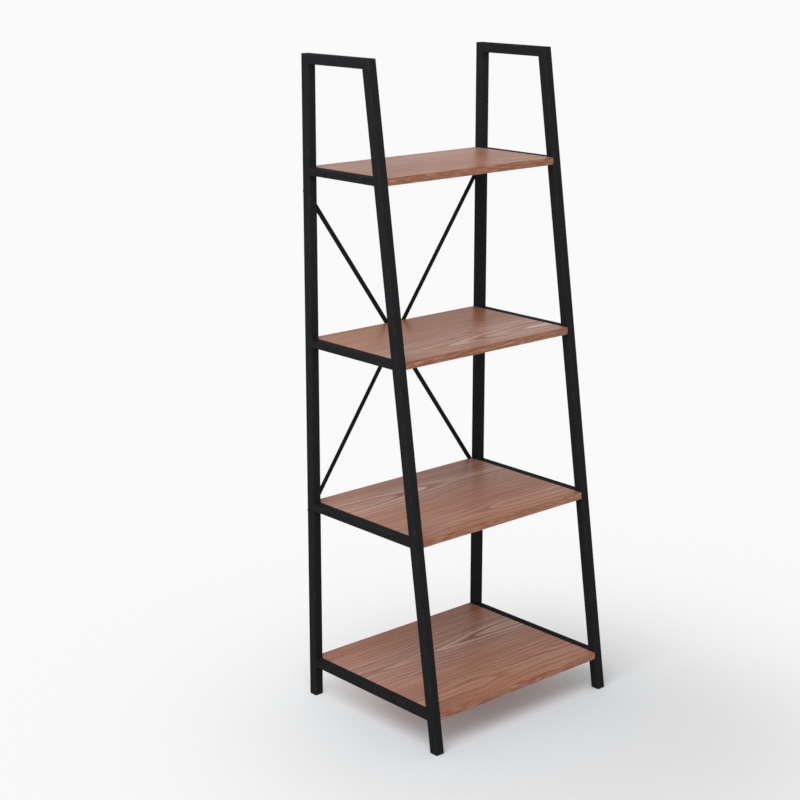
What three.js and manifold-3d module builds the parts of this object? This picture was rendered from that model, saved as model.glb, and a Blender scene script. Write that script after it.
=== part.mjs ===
// Ladder shelf: two welded side frames of black square tube, four wooden boards screwed between
// them, and a flat-bar X brace across the back. Each side frame has an upright rear post, a front
// leg that leans back as it rises, a top bar, and four rungs level with the boards.
//
// Millimetres. X runs across the shelf, -Y is the front, +Z is up. The origin is on the floor, in
// the middle of the whole shelf's outline.

import * as THREE from 'three';
import { mergeVertices } from 'three/addons/utils/BufferGeometryUtils.js';
import Module from 'manifold-3d';

// ---------------------------------------------------------------- driving dimensions

const frameWidth = 495;
const frameDepth = 401;
const frameHeight = 1354;

const tubeSize = 20;
const tubeWall = 1.2;
const tubeCornerRadius = 1.5;
const legSetbackAtTop = 201;

const tierNames = ['bottom', 'lower', 'upper', 'top'];
const boardThickness = 15;
const bottomBoardTop = 82;
const boardPitch = 350;

const weldGap = 0.3;
const boardGap = 0.3;
const contactGap = 0.1;

const rungScrew = {
  shankRadius: 2,
  length: 38,
  tipLength: 4,
  headRadius: 4,
  headHeight: 2.2,
  rimHeight: 1.1,
  shoulderRadius: 3.4,
  shoulderHeight: 1.9,
  crownRadius: 2,
  recessLength: 4,
  recessWidth: 0.8,
  recessDepth: 1.1,
};
const rungScrewHoleRadius = 2.4;
const pilotHoleRadius = 2.3;
const pilotHoleDepth = 22;
const rearScrewFromRear = 68;
const frontScrewFromLeg = [50, 48, 35, 26];

const braceWidth = 10;
const braceThickness = 2;
const braceTipBeyondHole = 8;
const braceHoleRadius = 2.8;
const braceUpperZ = 1083;
const braceLowerZ = 411;
const braceEndRadius = braceWidth / 2 - 0.01;
const braceFlatAtPost = 40;
const braceRaisedReach = 18;

const braceScrew = {
  shankRadius: 2.5,
  length: 12,
  tipChamfer: 0.5,
  headRadius: 4.25,
  headHeight: 5,
  headChamfer: 0.4,
  socketWidth: 4,
  socketDepth: 2.5,
};
const crossingBolt = {
  shankRadius: 2.5,
  length: 10,
  tipChamfer: 0.5,
  headRadius: 4.75,
  headHeight: 2.7,
  rimHeight: 0.5,
  shoulderRadius: 4,
  shoulderHeight: 1.8,
  crownRadius: 2.6,
  socketWidth: 3,
  socketDepth: 1.5,
};
const crossingNut = { acrossFlats: 8, thickness: 4, boreRadius: 2.8 };
const rivetNut = {
  flangeRadius: 4.8,
  flangeThickness: 0.5,
  bodyRadius: 3.4,
  length: 11,
  boreRadius: 2.8,
};
const rivetHoleRadius = 3.6;

const plugFlange = 2.5;
const plugStemHeight = 14;
const plugStemWall = 1.5;
const plugStemClearance = 0.4;

// How finely round shapes are divided: a whole turn, a tube's corner, a brace bar's end.
const turnSegments = 16;
const cornerSegments = 3;
const braceEndSegments = 6;
const weldTolerance = 1e-4;

// ---------------------------------------------------------------- places worked out from them

const leanSlope = legSetbackAtTop / frameHeight;
const leanAngle = Math.atan(leanSlope);
const tubeHalf = tubeSize / 2;
const tubeCentreX = frameWidth / 2 - tubeHalf;
const tubeBottomZ = plugFlange + contactGap;

const bracePlane = contactGap + rivetNut.flangeThickness + contactGap;
const hardwareDepth = bracePlane + braceThickness + contactGap + braceScrew.headHeight;
const rearY = frameDepth / 2 - hardwareDepth / 2;
const frontY = rearY - frameDepth;

const boardTopZ = (tier) => bottomBoardTop + tier * boardPitch;
const boardMiddleZ = (tier) => boardTopZ(tier) - boardThickness / 2;
const legFrontY = (z) => frontY + leanSlope * z;
const legCentreY = (z) => legFrontY(z) + tubeHalf / Math.cos(leanAngle);
const legRearY = (z) => legFrontY(z) + tubeSize / Math.cos(leanAngle);

// ---------------------------------------------------------------- finishes

const powderCoat = new THREE.MeshStandardMaterial({ color: 0x242527, roughness: 0.55, metalness: 0.2 });
const walnut = new THREE.MeshStandardMaterial({ color: 0x9a6a54, roughness: 0.6, metalness: 0 });
const blackSteel = new THREE.MeshStandardMaterial({ color: 0x19191b, roughness: 0.4, metalness: 0.7 });
const zincSteel = new THREE.MeshStandardMaterial({ color: 0xb4b2ac, roughness: 0.4, metalness: 0.9 });
const blackPlastic = new THREE.MeshStandardMaterial({ color: 0x151515, roughness: 0.7, metalness: 0 });

// ---------------------------------------------------------------- joining and cutting

const solids = await Module();
solids.setup();

function toSolid(geometry) {
  const bare = geometry.clone();
  bare.deleteAttribute('normal');
  bare.deleteAttribute('uv');
  const merged = mergeVertices(bare, weldTolerance);
  const corners = [];
  for (let i = 0; i < merged.index.count; i += 3) {
    const [a, b, c] = [0, 1, 2].map((k) => merged.index.getX(i + k));
    if (a !== b && b !== c && c !== a) corners.push(a, b, c);
  }
  return new solids.Manifold(new solids.Mesh({
    numProp: 3,
    vertProperties: new Float32Array(merged.attributes.position.array),
    triVerts: new Uint32Array(corners),
  }));
}

function toGeometry(solid) {
  const mesh = solid.getMesh();
  const geometry = new THREE.BufferGeometry();
  geometry.setAttribute('position', new THREE.BufferAttribute(mesh.vertProperties, 3));
  geometry.setIndex(new THREE.BufferAttribute(mesh.triVerts, 1));
  geometry.computeVertexNormals();
  return geometry;
}

function cut(geometry, cutters) {
  const subtract = (solid, cutter) => solid.subtract(toSolid(cutter));
  return toGeometry(cutters.reduce(subtract, toSolid(geometry)));
}

function join(first, second) {
  return toGeometry(toSolid(first).add(toSolid(second)));
}

// ---------------------------------------------------------------- outlines and simple bodies

function rectangle(width, height) {
  const [x, y] = [width / 2, height / 2];
  return new THREE.Shape().moveTo(-x, -y).lineTo(x, -y).lineTo(x, y).lineTo(-x, y);
}

function roundedRectangle(width, height, radius) {
  const [x, y] = [width / 2 - radius, height / 2 - radius];
  const quarter = Math.PI / 2;
  return new THREE.Shape()
    .absarc(x, -y, radius, -quarter, 0)
    .absarc(x, y, radius, 0, quarter)
    .absarc(-x, y, radius, quarter, 2 * quarter)
    .absarc(-x, -y, radius, 2 * quarter, 3 * quarter);
}

function hexagon(acrossFlats) {
  const radius = acrossFlats / Math.sqrt(3);
  const corner = (i) => {
    const angle = i * Math.PI / 3;
    return new THREE.Vector2(radius * Math.cos(angle), radius * Math.sin(angle));
  };
  return new THREE.Shape([0, 1, 2, 3, 4, 5].map(corner));
}

function extrude(shape, depth, curveSegments = cornerSegments) {
  return new THREE.ExtrudeGeometry(shape, { depth, bevelEnabled: false, curveSegments });
}

// A body turned about the Y axis, from [radius, y] pairs that run upwards on its outside.
function turned(profile) {
  const points = profile.map(([radius, y]) => new THREE.Vector2(radius, y));
  return new THREE.LatheGeometry(points, turnSegments);
}

// A round cutter along the Y axis, centred on the origin.
function drill(radius, length) {
  return new THREE.CylinderGeometry(radius, radius, length, turnSegments);
}

function place(name, geometry, material, x, y, z) {
  const mesh = new THREE.Mesh(geometry, material);
  mesh.name = name;
  mesh.position.set(x, y, z);
  return mesh;
}

// ---------------------------------------------------------------- tubes

// How far an end cut is drawn back along the tube to stay this gap off its neighbour.
const drawBack = (gap, slope) => gap * Math.hypot(1, slope);

// A straight hollow tube along +Z, tubeSize wide in X and sectionHeight high in Y. start and end
// each say where that end's cut meets the centre line, and the cut's slope, dz/dy.
function tube(sectionHeight, start, end) {
  const section = roundedRectangle(tubeSize, sectionHeight, tubeCornerRadius);
  section.holes.push(rectangle(tubeSize - 2 * tubeWall, sectionHeight - 2 * tubeWall));
  const stubLength = 1;
  const geometry = extrude(section, stubLength);
  const position = geometry.attributes.position;
  for (let i = 0; i < position.count; i += 1) {
    const endCut = position.getZ(i) < stubLength / 2 ? start : end;
    position.setZ(i, endCut.at + endCut.slope * position.getY(i));
  }
  geometry.computeVertexNormals();
  return geometry;
}

// The rear post stands on its foot plug and meets the top bar in a 45-degree mitre. Two holes in
// its rear wall hold the rivet nuts for the brace.
function rearPost() {
  const mitreSlope = 1;
  const top = frameHeight - tubeHalf - drawBack(weldGap / 2, mitreSlope);
  const post = tube(tubeSize, { at: tubeBottomZ, slope: 0 }, { at: top, slope: mitreSlope });
  const rivetHole = (z) => drill(rivetHoleRadius, 3 * tubeWall).translate(0, tubeHalf, z);
  return cut(post, [braceLowerZ, braceUpperZ].map(rivetHole));
}

// The cut that halves the angle between a leg and the top bar.
const legMitreSlope = (1 - Math.sin(leanAngle)) / Math.cos(leanAngle);

// The front leg, lying along its own +Z with its back towards +Y. Its foot is cut level.
function frontLeg() {
  const frontLength = (frameHeight - tubeBottomZ) / Math.cos(leanAngle);
  const mitreMiddle = frontLength - tubeHalf * (leanSlope + legMitreSlope);
  const top = mitreMiddle - drawBack(weldGap / 2, legMitreSlope);
  return tube(tubeSize, { at: 0, slope: leanSlope }, { at: top, slope: -legMitreSlope });
}

// Top bars and rungs lie along their own +Z, which points to the back, with +Y facing down.
function topBar() {
  const mitreMiddle = legFrontY(frameHeight) + tubeHalf * legMitreSlope;
  const front = mitreMiddle + drawBack(weldGap / 2, legMitreSlope);
  const rear = rearY - tubeHalf - drawBack(weldGap / 2, 1);
  return tube(tubeSize, { at: front, slope: legMitreSlope }, { at: rear, slope: -1 });
}

function rung(tier) {
  const front = legRearY(boardMiddleZ(tier)) + drawBack(weldGap, leanSlope);
  const rear = rearY - tubeSize - weldGap;
  const bar = tube(boardThickness, { at: front, slope: -leanSlope }, { at: rear, slope: 0 });
  const crossDrill = drill(rungScrewHoleRadius, 2 * tubeSize).rotateZ(Math.PI / 2);
  const screwHole = (y) => crossDrill.clone().translate(0, 0, y);
  return cut(bar, screwYs(tier).map(screwHole));
}

// Where a tier's front and rear screws are, from front to back.
function screwYs(tier) {
  return [legRearY(boardMiddleZ(tier)) + frontScrewFromLeg[tier], rearY - rearScrewFromRear];
}

function sideFrame(side, sign) {
  const frame = new THREE.Group();
  frame.position.x = sign * tubeCentreX;

  const post = place(`${side}_rear_post`, rearPost(), powderCoat, 0, rearY - tubeHalf, 0);
  const legY = legCentreY(tubeBottomZ);
  const leg = place(`${side}_front_leg`, frontLeg(), powderCoat, 0, legY, tubeBottomZ);
  leg.rotation.x = -leanAngle;
  const bar = place(`${side}_top_bar`, topBar(), powderCoat, 0, 0, frameHeight - tubeHalf);
  bar.rotation.x = -Math.PI / 2;
  frame.add(post, leg, bar);

  tierNames.forEach((tierName, tier) => {
    const cross = place(`${side}_${tierName}_rung`, rung(tier), powderCoat, 0, 0, boardMiddleZ(tier));
    cross.rotation.x = -Math.PI / 2;
    frame.add(cross);
  });
  return frame;
}

// ---------------------------------------------------------------- foot plugs

// A push-in plug: a flange that the tube's end stands on, and a hollow stem inside the tube. The
// slope carries the stem up along a leaning leg.
function footPlug(slope) {
  const stemSize = tubeSize - 2 * tubeWall - 2 * plugStemClearance;
  const stemShape = rectangle(stemSize, stemSize);
  stemShape.holes.push(rectangle(stemSize - 2 * plugStemWall, stemSize - 2 * plugStemWall));
  const stem = extrude(stemShape, plugFlange / 2 + plugStemHeight).translate(0, 0, plugFlange / 2);
  const flange = extrude(roundedRectangle(tubeSize, tubeSize, tubeCornerRadius), plugFlange);
  const widenForLean = Math.hypot(1, slope);
  const lean = new THREE.Matrix4().makeShear(0, 0, 0, 0, 0, slope);
  return join(flange, stem).scale(1, widenForLean, 1).applyMatrix4(lean);
}

function footPlugs(side, sign) {
  const x = sign * tubeCentreX;
  return [
    place(`${side}_rear_foot_plug`, footPlug(0), blackPlastic, x, rearY - tubeHalf, 0),
    place(`${side}_front_foot_plug`, footPlug(leanSlope), blackPlastic, x, legCentreY(0), 0),
  ];
}

// ---------------------------------------------------------------- boards and their screws

// A board fills the width between the side frames. Its back edge is level with the rear posts, and
// its upright front edge meets the front of the legs at its top face. Blind holes take the screws.
function board(tier) {
  const length = frameWidth - 2 * tubeSize - 2 * boardGap;
  const front = legFrontY(boardTopZ(tier));
  const middleY = (front + rearY) / 2;
  const slab = new THREE.BoxGeometry(length, rearY - front, boardThickness);
  const endDrill = drill(pilotHoleRadius, 2 * pilotHoleDepth).rotateZ(Math.PI / 2);
  const pilotHoles = [-1, 1].flatMap((sign) => screwYs(tier).map((y) => (
    endDrill.clone().translate(sign * length / 2, y - middleY, 0)
  )));
  const name = `${tierNames[tier]}_board`;
  return place(name, cut(slab, pilotHoles), walnut, 0, middleY, boardMiddleZ(tier));
}

// The outside of a head that rises to a rim and rounds in to a flat crown.
function domedHead({ headRadius, rimHeight, shoulderRadius, shoulderHeight, crownRadius, headHeight }) {
  return [
    [headRadius, 0],
    [headRadius, rimHeight],
    [shoulderRadius, shoulderHeight],
    [crownRadius, headHeight],
  ];
}

// A pan-head screw with a cross recess, pointing down its own -Y from the underside of its head.
function rungScrewBody() {
  const { shankRadius, length, tipLength, headHeight } = rungScrew;
  const { recessLength, recessWidth, recessDepth } = rungScrew;
  const body = turned([
    [0, -length],
    [shankRadius, -length + tipLength],
    [shankRadius, 0],
    ...domedHead(rungScrew),
    [0, headHeight],
  ]);
  const slot = new THREE.BoxGeometry(recessLength, 2 * recessDepth, recessWidth);
  slot.translate(0, headHeight, 0);
  return cut(body, [slot, slot.clone().rotateY(Math.PI / 2)]);
}

// Each rung has two screws, driven in from outside the frame, through the rung and into the board.
function rungScrews(side, sign) {
  const outerX = sign * (frameWidth / 2 + contactGap);
  return tierNames.flatMap((tierName, tier) => screwYs(tier).map((y, i) => {
    const name = `${side}_${tierName}_${i === 0 ? 'front' : 'rear'}_screw`;
    const screw = place(name, rungScrewBody(), blackSteel, outerX, y, boardMiddleZ(tier));
    screw.rotation.z = -sign * Math.PI / 2;
    return screw;
  }));
}

// ---------------------------------------------------------------- X brace and its hardware

const braceSpanX = 2 * tubeCentreX;
const braceRise = braceUpperZ - braceLowerZ;
const braceHalfLength = Math.hypot(braceSpanX, braceRise) / 2;
const braceAngle = Math.atan2(braceRise, braceSpanX);
const crossingZ = (braceUpperZ + braceLowerZ) / 2;

// A flat bar along its own X, with +Y as its back. It is flat where it meets the posts and steps
// back by the given amount to pass over whatever lies behind it at the crossing.
function braceBar(step) {
  const flatStart = braceHalfLength - braceFlatAtPost;
  const end = braceHalfLength + braceTipBeyondHole;
  const frontEdge = [[-end, 0], [-flatStart, 0], [-braceRaisedReach, step]];
  const mirrored = frontEdge.map(([x, y]) => [-x, y]).reverse();
  const outline = [...frontEdge, ...mirrored];
  const backEdge = outline.map(([x, y]) => [x, y + braceThickness]).reverse();
  const side = new THREE.Shape([...outline, ...backEdge].map(([x, y]) => new THREE.Vector2(x, y)));
  const bar = extrude(side, braceWidth).translate(0, 0, -braceWidth / 2);

  const depth = 4 * (braceThickness + step);
  const planShape = roundedRectangle(2 * end, braceWidth, braceEndRadius);
  const roundEnds = extrude(planShape, depth, braceEndSegments);
  roundEnds.rotateX(Math.PI / 2).translate(0, depth / 2, 0);
  const rounded = toGeometry(toSolid(bar).intersect(toSolid(roundEnds)));
  const hole = (x) => drill(braceHoleRadius, depth).translate(x, 0, 0);
  return cut(rounded, [-braceHalfLength, 0, braceHalfLength].map(hole));
}

// A screw with a hexagon socket, pointing down its own -Y from the underside of its head.
function socketScrew(size, headProfile) {
  const { shankRadius, length, tipChamfer, headHeight, socketWidth, socketDepth } = size;
  const body = turned([
    [0, -length],
    [shankRadius - tipChamfer, -length],
    [shankRadius, -length + tipChamfer],
    [shankRadius, 0],
    ...headProfile,
    [0, headHeight],
  ]);
  const socket = extrude(hexagon(socketWidth), 2 * socketDepth).rotateX(Math.PI / 2);
  return cut(body, [socket.translate(0, headHeight + socketDepth, 0)]);
}

// The outside of a straight-sided head with a chamfer round its top.
function capHead({ headRadius, headHeight, headChamfer }) {
  return [
    [headRadius, 0],
    [headRadius, headHeight - headChamfer],
    [headRadius - headChamfer, headHeight],
  ];
}

function rivetNutBody() {
  const { flangeRadius, flangeThickness, bodyRadius, length, boreRadius } = rivetNut;
  return turned([
    [boreRadius, -length],
    [bodyRadius, -length],
    [bodyRadius, 0],
    [flangeRadius, 0],
    [flangeRadius, flangeThickness],
    [boreRadius, flangeThickness],
    [boreRadius, -length],
  ]);
}

function crossingNutBody() {
  const blank = extrude(hexagon(crossingNut.acrossFlats), crossingNut.thickness).rotateX(-Math.PI / 2);
  return cut(blank, [drill(crossingNut.boreRadius, 4 * crossingNut.thickness)]);
}

function xBrace() {
  const planeY = rearY + bracePlane;
  const innerBrace = place('inner_brace', braceBar(0), powderCoat, 0, planeY, crossingZ);
  innerBrace.rotation.y = braceAngle;
  const step = braceThickness + contactGap;
  const outerBrace = place('outer_brace', braceBar(step), powderCoat, 0, planeY, crossingZ);
  outerBrace.rotation.y = -braceAngle;

  const boltY = planeY + step + braceThickness + contactGap;
  const boltGeometry = socketScrew(crossingBolt, domedHead(crossingBolt));
  const bolt = place('crossing_bolt', boltGeometry, blackSteel, 0, boltY, crossingZ);
  const nutY = planeY - contactGap - crossingNut.thickness;
  const nut = place('crossing_nut', crossingNutBody(), zincSteel, 0, nutY, crossingZ);

  const brace = new THREE.Group();
  brace.add(innerBrace, outerBrace, bolt, nut);

  const screwY = planeY + braceThickness + contactGap;
  const nutFlangeY = rearY + contactGap;
  for (const [side, sign] of [['left', -1], ['right', 1]]) {
    for (const [level, z] of [['lower', braceLowerZ], ['upper', braceUpperZ]]) {
      const x = sign * tubeCentreX;
      const screw = socketScrew(braceScrew, capHead(braceScrew));
      brace.add(place(`${side}_${level}_brace_screw`, screw, blackSteel, x, screwY, z));
      brace.add(place(`${side}_${level}_rivet_nut`, rivetNutBody(), zincSteel, x, nutFlangeY, z));
    }
  }
  return brace;
}

// ---------------------------------------------------------------- the whole shelf

const ladderShelf = new THREE.Group();
for (const [side, sign] of [['left', -1], ['right', 1]]) {
  ladderShelf.add(sideFrame(side, sign));
  ladderShelf.add(...footPlugs(side, sign));
  ladderShelf.add(...rungScrews(side, sign));
}
tierNames.forEach((tierName, tier) => ladderShelf.add(board(tier)));
ladderShelf.add(xBrace());

export default ladderShelf;
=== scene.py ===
"""The looks of a ladder shelf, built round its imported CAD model.

Metres. X runs across the shelf, -Y is the front and +Z is up, as in the model. Each tube, board,
bar, screw and plug is a finer mesh that stands for its CAD node. The rivet nuts and the nut at the
crossing are the CAD nodes themselves.
"""

import math
import random

import bmesh
import bpy
from mathutils import Matrix, Vector

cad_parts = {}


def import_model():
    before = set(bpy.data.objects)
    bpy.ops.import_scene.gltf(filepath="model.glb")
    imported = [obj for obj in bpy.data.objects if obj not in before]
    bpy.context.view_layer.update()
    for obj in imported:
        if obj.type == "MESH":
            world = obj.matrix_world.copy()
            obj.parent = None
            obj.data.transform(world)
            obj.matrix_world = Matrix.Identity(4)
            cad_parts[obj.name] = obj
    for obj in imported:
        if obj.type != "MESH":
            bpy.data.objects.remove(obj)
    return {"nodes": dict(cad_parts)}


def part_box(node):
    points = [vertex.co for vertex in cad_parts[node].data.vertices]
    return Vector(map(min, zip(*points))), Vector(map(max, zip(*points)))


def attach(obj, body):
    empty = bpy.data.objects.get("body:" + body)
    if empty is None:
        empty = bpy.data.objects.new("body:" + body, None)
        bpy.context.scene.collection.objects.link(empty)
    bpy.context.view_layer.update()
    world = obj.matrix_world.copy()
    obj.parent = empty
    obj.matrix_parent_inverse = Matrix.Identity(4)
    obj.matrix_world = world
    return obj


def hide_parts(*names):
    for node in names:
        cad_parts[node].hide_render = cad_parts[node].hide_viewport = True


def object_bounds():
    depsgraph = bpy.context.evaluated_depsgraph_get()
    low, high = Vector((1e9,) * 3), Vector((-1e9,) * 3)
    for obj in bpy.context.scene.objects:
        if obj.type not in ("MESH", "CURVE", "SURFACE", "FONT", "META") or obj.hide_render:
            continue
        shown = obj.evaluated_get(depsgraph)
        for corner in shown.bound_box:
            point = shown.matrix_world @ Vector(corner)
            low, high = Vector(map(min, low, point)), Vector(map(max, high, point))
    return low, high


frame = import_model()
cad_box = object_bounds()

MM = 0.001
QUARTER_TURN = math.pi / 2
SIDES = (("left", -1), ("right", 1))
TIERS = ("bottom", "lower", "upper", "top")
BODY = "root"

# ------------------------------------------------------------------ sizes read from the frame

post_low, post_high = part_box("right_rear_post")
board_boxes = {tier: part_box(f"{tier}_board") for tier in TIERS}

SHELF_MIDDLE = (cad_box[0] + cad_box[1]) / 2
TUBE_SIZE = post_high.x - post_low.x
TUBE_HALF = TUBE_SIZE / 2
TUBE_CENTRE_X = (post_low.x + post_high.x) / 2
TUBE_BOTTOM_Z = post_low.z
REAR_Y = post_high.y
TUBE_INSIDE_Y = REAR_Y - TUBE_SIZE
FRAME_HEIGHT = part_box("right_top_bar")[1].z
BOARD_THICKNESS = board_boxes["top"][1].z - board_boxes["top"][0].z

LEAN_SLOPE = (board_boxes["top"][0].y - board_boxes["bottom"][0].y) / (
    board_boxes["top"][1].z - board_boxes["bottom"][1].z
)
LEAN = math.atan(LEAN_SLOPE)
LEG_DEPTH = TUBE_SIZE / math.cos(LEAN)
LEG_MITRE_SLOPE = (1 - math.sin(LEAN)) / math.cos(LEAN)


def leg_front_y(z):
    low, high = board_boxes["bottom"]
    return low.y + LEAN_SLOPE * (z - high.z)


def leg_rear_y(z):
    return leg_front_y(z) + LEG_DEPTH


def tier_middle(tier):
    low, high = board_boxes[tier]
    return (low.z + high.z) / 2


# ------------------------------------------------------------------ material graphs


def by_identifier(sockets, identifier):
    return next(socket for socket in sockets if socket.identifier == identifier)


class Graph:
    """A material's node tree. Each call adds a node and gives back its output."""

    def __init__(self, name):
        self.material = bpy.data.materials.new(name)
        self.material.use_nodes = True
        self.tree = self.material.node_tree
        self.tree.nodes.clear()
        self.surface = self.add("ShaderNodeBsdfPrincipled")
        self.output = self.add("ShaderNodeOutputMaterial")
        self.tree.links.new(self.surface.outputs[0], self.output.inputs[0])
        self.place = self.add("ShaderNodeTexCoord").outputs["Object"]

    def add(self, kind, *values, **settings):
        """A node with these settings, and these values on its first sockets."""
        node = self.tree.nodes.new(kind)
        for key, value in settings.items():
            setattr(node, key, value)
        for socket, value in zip(node.inputs, values):
            self.feed(socket, value)
        return node

    def feed(self, socket, value):
        if isinstance(value, bpy.types.NodeSocket):
            self.tree.links.new(value, socket)
        elif value is not None:
            socket.default_value = value

    def set(self, **values):
        """Feeds the surface's own sockets: base_color is Base Color, and so on."""
        for key, value in values.items():
            label = key.replace("_", " ").title().replace("Ior", "IOR")
            self.feed(self.surface.inputs[label], value)

    def math(self, operation, *values, clamp=False):
        return self.add("ShaderNodeMath", *values, operation=operation, use_clamp=clamp).outputs[0]

    def times(self, first, second, clamp=False):
        return self.math("MULTIPLY", first, second, clamp=clamp)

    def times_plus(self, value, factor, added, clamp=False):
        return self.math("MULTIPLY_ADD", value, factor, added, clamp=clamp)

    def split(self, vector):
        return self.add("ShaderNodeSeparateXYZ", vector).outputs

    def join(self, x, y, z):
        return self.add("ShaderNodeCombineXYZ", x, y, z).outputs[0]

    def noise(self, cells, detail=2.0, place=None, shift=0.0):
        """Noise from 0 to 1. Cells is how many lie in a metre, as one number or one for each axis."""
        scale = cells if isinstance(cells, tuple) else (cells, cells, cells)
        mapping = self.add("ShaderNodeMapping", place or self.place, (shift, shift, shift))
        mapping.inputs["Scale"].default_value = scale
        texture = self.add("ShaderNodeTexNoise", mapping.outputs[0])
        texture.inputs["Scale"].default_value = 1.0
        texture.inputs["Detail"].default_value = detail
        return texture.outputs["Fac"]

    def span(self, value, low, high, to_low=0.0, to_high=1.0, smooth=False):
        """The value's range from low to high, taken to another range and cut off at its ends."""
        node = self.add("ShaderNodeMapRange", value, low, high, to_low, to_high)
        node.interpolation_type = "SMOOTHSTEP" if smooth else "LINEAR"
        return node.outputs[0]

    def spread(self, noise, to_low, to_high):
        """The range that noise mostly keeps to, taken to another range."""
        return self.span(noise, 0.3, 0.7, to_low, to_high)

    def mix(self, factor, first, second):
        node = self.add("ShaderNodeMix", data_type="RGBA")
        for key, value in (("Factor_Float", factor), ("A_Color", first), ("B_Color", second)):
            self.feed(by_identifier(node.inputs, key), value)
        return by_identifier(node.outputs, "Result_Color")

    def paint(self, colour, layers):
        """Lays each layer's colour over what is below it, by its factor."""
        for factor, over in layers:
            colour = self.mix(factor, colour, over)
        return colour

    def attribute(self, name):
        return self.add("ShaderNodeAttribute", attribute_name=name).outputs["Fac"]

    def bump(self, height, distance, strength):
        node = self.add("ShaderNodeBump")
        for key, value in (("Height", height), ("Distance", distance), ("Strength", strength)):
            self.feed(node.inputs[key], value)
        self.feed(self.surface.inputs["Normal"], node.outputs[0])


def grey(value, warmth=0.0):
    return (value * (1 + warmth), value, value * (1 - warmth), 1.0)


def coal(value):
    """Nearly black with a faint blue cast."""
    return (0.97 * value, 0.99 * value, 1.07 * value, 1.0)


# ------------------------------------------------------------------ metal and plastic finishes

# The point attribute that says how exposed each part of a mesh is to wear, from 0 to 1. On the powder
# coat it also places a painted highlight along the corners.
EDGE = "edge"

COAT_DARK = coal(0.0128)
COAT_LIGHT = coal(0.0160)
COAT_GRAIN = coal(0.0190)
# Lighter coat on scuffed corners: partly wear where the coat is thin, partly a painted highlight.
COAT_WORN_AND_HIGHLIGHT = grey(0.040, 0.02)

OXIDE_DARK = grey(0.004)
OXIDE_LIGHT = grey(0.009, 0.04)
OXIDE_RUBBED = grey(0.045, 0.03)

ZINC_DARK = grey(0.42, 0.02)
ZINC_LIGHT = grey(0.6, 0.03)

PLASTIC_DARK = grey(0.010)
PLASTIC_LIGHT = grey(0.017)
PLASTIC_SCUFFED = grey(0.06)


def powder_coat():
    graph = Graph("black_powder_coat")
    patches = graph.noise(9, detail=4)
    texture = graph.noise(900, detail=1)
    scuffs = graph.span(graph.noise(70, detail=5), 0.5, 0.72)
    # The scuffed corners, where the lighter coat is partly wear and partly a painted highlight along
    # the edges.
    rubbed = graph.times(graph.attribute(EDGE), scuffs)
    layers = (
        (patches, COAT_LIGHT),
        (graph.spread(texture, 0.0, 0.5), COAT_GRAIN),
        (graph.times(rubbed, 0.5), COAT_WORN_AND_HIGHLIGHT),
    )
    graph.set(base_color=graph.paint(COAT_DARK, layers), ior=1.06)
    graph.set(roughness=graph.times_plus(rubbed, -0.12, graph.spread(patches, 0.54, 0.64)))
    graph.bump(texture, 0.12 * MM, 0.35)
    return graph.material


def black_steel():
    graph = Graph("black_oxide_steel")
    patches = graph.noise(160, detail=4)
    rubbed = graph.times(graph.attribute(EDGE), graph.span(patches, 0.42, 0.62))
    layers = ((patches, OXIDE_LIGHT), (graph.times(rubbed, 0.6), OXIDE_RUBBED))
    graph.set(base_color=graph.paint(OXIDE_DARK, layers), ior=1.2)
    graph.set(roughness=graph.spread(patches, 0.44, 0.56))
    graph.bump(graph.noise(2600, detail=1), 0.03 * MM, 0.4)
    return graph.material


def zinc_steel():
    graph = Graph("zinc_plated_steel")
    patches = graph.noise(300, detail=5)
    brushed = graph.noise((5200, 260, 5200), detail=2)
    graph.set(base_color=graph.mix(patches, ZINC_DARK, ZINC_LIGHT), metallic=1.0)
    graph.set(roughness=graph.span(brushed, 0.25, 0.75, 0.26, 0.44))
    graph.bump(brushed, 0.02 * MM, 0.4)
    return graph.material


def moulded_plastic():
    graph = Graph("black_moulded_plastic")
    grain = graph.noise(1500, detail=3)
    scuffs = graph.span(graph.noise((260, 260, 90), detail=4), 0.45, 0.7)
    scuffed = graph.times(graph.attribute(EDGE), scuffs)
    layers = ((grain, PLASTIC_LIGHT), (graph.times(scuffed, 0.5), PLASTIC_SCUFFED))
    graph.set(base_color=graph.paint(PLASTIC_DARK, layers))
    graph.set(roughness=graph.spread(grain, 0.55, 0.72))
    graph.bump(grain, 0.05 * MM, 0.5)
    return graph.material


# ------------------------------------------------------------------ walnut-look laminate

WARM_BROWN = (0.380, 0.134, 0.053, 1.0)
GREY_BROWN = (0.405, 0.198, 0.142, 1.0)
PALE_BROWN = (0.720, 0.490, 0.390, 1.0)
RING_BROWN = (0.105, 0.036, 0.021, 1.0)
PORE_BROWN = (0.090, 0.036, 0.024, 1.0)

# Beside a growth centre the rings lie RING_SPACING / CROWDING apart, and CROWDING_GAIN brings them
# closer together further from it. CENTRE_SOFTNESS rounds the tips of the arches.
RING_SPACING = 18 * MM
CENTRE_SOFTNESS = 9 * MM
CROWDING = 1.2
CROWDING_GAIN = 2.5

# How far from a centre's line its figure reaches, and how strong the second centre's is.
FIGURE_REACH = 76 * MM
SECOND_STRENGTH = 0.5

# The shares of a ring's width at which it is palest, stops being pale, starts to darken and breaks
# off to the next ring.
RING_PALEST = 0.07
RING_PALE_END = 0.85
RING_DARKENS = 0.55
RING_BREAKS = 0.94

# How strongly each layer of the print shows at its most.
PALE_LINES = 0.55
DARK_LINES = 0.45
DARK_RINGS = 0.58
DARK_STREAKS = 0.65
DARK_THREADS = 0.25
PALE_THREADS = 0.20
PORES = 0.35
FIBRES = 0.18

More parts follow.
